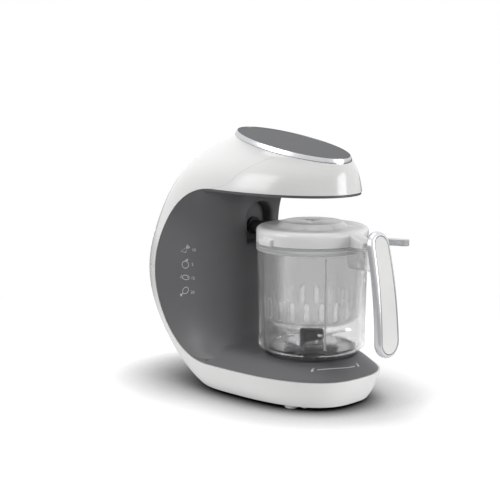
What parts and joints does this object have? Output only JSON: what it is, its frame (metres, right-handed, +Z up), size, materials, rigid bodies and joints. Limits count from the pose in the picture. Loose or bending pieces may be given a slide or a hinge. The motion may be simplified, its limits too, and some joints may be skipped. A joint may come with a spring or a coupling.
{
  "type": "baby food maker",
  "caption": "Baby food maker that steams and blends: C-shaped white body, grey column, oval touch panel on the head, and a clear jug with basket, blades, lid and handle.",
  "frame": {"origin": "on the surface it stands on, under the middle of its bounding box", "axes": "+Z up, +Y towards the back of the machine (the handle points to -Y), +X to the right of someone who faces the handle"},
  "size_m": [0.1442, 0.3032, 0.2689],
  "materials": {
    "white_gloss": "glossy white moulding",
    "grey_matt": "matt warm grey moulding",
    "inner_grey": "plain inner moulding",
    "pale_rubber": "pale soft rubber",
    "steel": "brushed stainless steel",
    "chrome_trim": "bright plated plastic trim",
    "silver_trim": "silver lacquered plastic",
    "panel_grey": "smooth grey panel film",
    "board_green": "circuit board",
    "board_black": "black moulded component",
    "black_plastic": "black glass-filled plastic",
    "bronze": "sintered bronze",
    "magnet": "ferrite",
    "belt_rubber": "black rubber",
    "cast_alloy": "die-cast alloy",
    "silicone": "milky silicone",
    "nozzle_plastic": "white heat-proof plastic",
    "clear_tank": "clear plastic",
    "clear_jug": "clear plastic",
    "milky_lid": "milky white plastic"
  },
  "bodies": {
    "base": {"lower_shell": "white_gloss", "head_shell": "white_gloss", "inner_housing": "grey_matt", "head_underside": "grey_matt", "base_plate": "inner_grey", "rubber_feet": "pale_rubber", "base_screws": "steel", "panel_bezel": "chrome_trim", "touch_panel": "panel_grey", "touch_board": "board_green", "panel_carrier": "inner_grey", "bearing_carrier": "inner_grey", "shaft_bushes": "bronze", "motor_can": "steel", "motor_magnets": "magnet", "drive_belt": "belt_rubber", "chassis": "inner_grey", "boiler_body": "cast_alloy", "heating_element": "steel", "boiler_lid": "cast_alloy", "thermostat": "board_black", "steam_nozzle": "nozzle_plastic", "nozzle_seal": "silicone", "steam_tube": "silicone", "feed_hose": "silicone", "pump_hose": "silicone", "water_pump": "inner_grey", "inlet_socket": "inner_grey", "power_board": "board_green", "board_parts": "board_black", "interlock_switch": "board_black", "cord_gland": "belt_rubber"},
    "tank": {"tank_cowl": "white_gloss", "tank_reservoir": "clear_tank", "tank_cap": "nozzle_plastic", "tank_valve": "nozzle_plastic", "tank_oring": "belt_rubber"},
    "drive": {"drive_pulley": "black_plastic", "drive_shaft": "steel", "drive_coupling": "black_plastic"},
    "rotor": {"motor_rotor": "steel", "motor_fan": "black_plastic", "motor_pulley": "black_plastic"},
    "blade": {"blade_shaft": "steel", "blade_dog": "black_plastic", "blade_lower": "steel", "blade_upper": "steel", "blade_hub": "black_plastic"},
    "twist_ring": {"interlock_ring": "grey_matt"},
    "jug": {"jug_body": "clear_jug", "jug_collar": "grey_matt", "handle_frame": "silver_trim", "handle_insert": "white_gloss", "handle_screw": "steel", "blade_seal": "silicone"},
    "basket": {"steam_basket": "clear_jug"},
    "lid": {"lid": "milky_lid", "lid_gasket": "silicone"}
  },
  "joints": [
    {"name": "drive_spin", "type": "hinge", "parent": "base", "child": "drive", "pos_m": [0, -0.0504, 0.03], "axis": [0, 0, 1], "continuous": true},
    {"name": "motor_spin", "type": "hinge", "parent": "base", "child": "rotor", "pos_m": [0, 0.0476, 0.07], "axis": [0, 0, 1], "continuous": true},
    {"name": "blade_lift", "type": "slide", "parent": "drive", "child": "blade", "axis": [0, 0, 1], "range_m": [0, 0.012]},
    {"name": "jug_twist", "type": "hinge", "parent": "base", "child": "twist_ring", "pos_m": [0, -0.0504, 0.045], "axis": [0, 0, 1], "range_deg": [-37, 0]},
    {"name": "jug_lift", "type": "slide", "parent": "twist_ring", "child": "jug", "axis": [0, 0, 1], "range_m": [0, 0.012]},
    {"name": "basket_lift", "type": "slide", "parent": "jug", "child": "basket", "axis": [0, 0, 1], "range_m": [0, 0.007]},
    {"name": "lid_lift", "type": "slide", "parent": "basket", "child": "lid", "axis": [0, 0, 1], "range_m": [0, 0.008]},
    {"name": "tank_slide", "type": "slide", "parent": "base", "child": "tank", "axis": [0, 1, 0], "range_m": [0, 0.075]}
  ],
  "couplings": [
    {"joint": "motor_spin", "follows": "drive_spin", "ratio": 3},
    {"joint": "blade_lift", "follows": "jug_lift", "ratio": 1}
  ]
}
